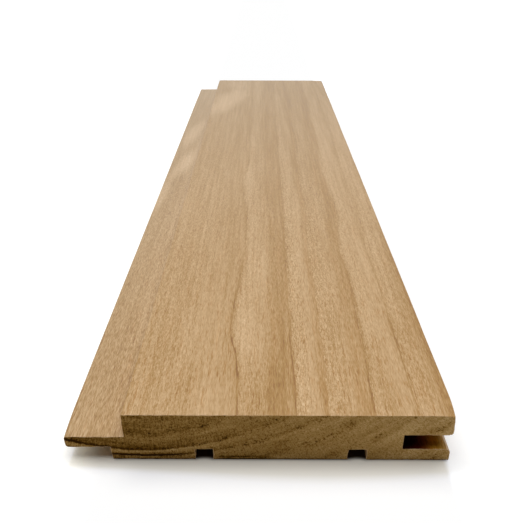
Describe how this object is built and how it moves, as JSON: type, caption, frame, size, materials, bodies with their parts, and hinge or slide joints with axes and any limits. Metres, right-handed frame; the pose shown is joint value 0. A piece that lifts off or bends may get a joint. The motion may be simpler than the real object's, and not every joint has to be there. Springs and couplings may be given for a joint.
{
  "type": "tongue and groove board",
  "caption": "Short planed timber cladding board with a tongue along one edge, a groove along the other and relief grooves in its back.",
  "frame": {"origin": "middle of the back of the board, on the surface that it lies on", "axes": "+X across the board from the tongue to the groove, +Y along its length, +Z from the back up to the face"},
  "size_m": [0.12, 0.48, 0.018],
  "materials": {
    "wood": "planed, bare"
  },
  "bodies": {
    "root": {"board": "wood"}
  },
  "joints": []
}
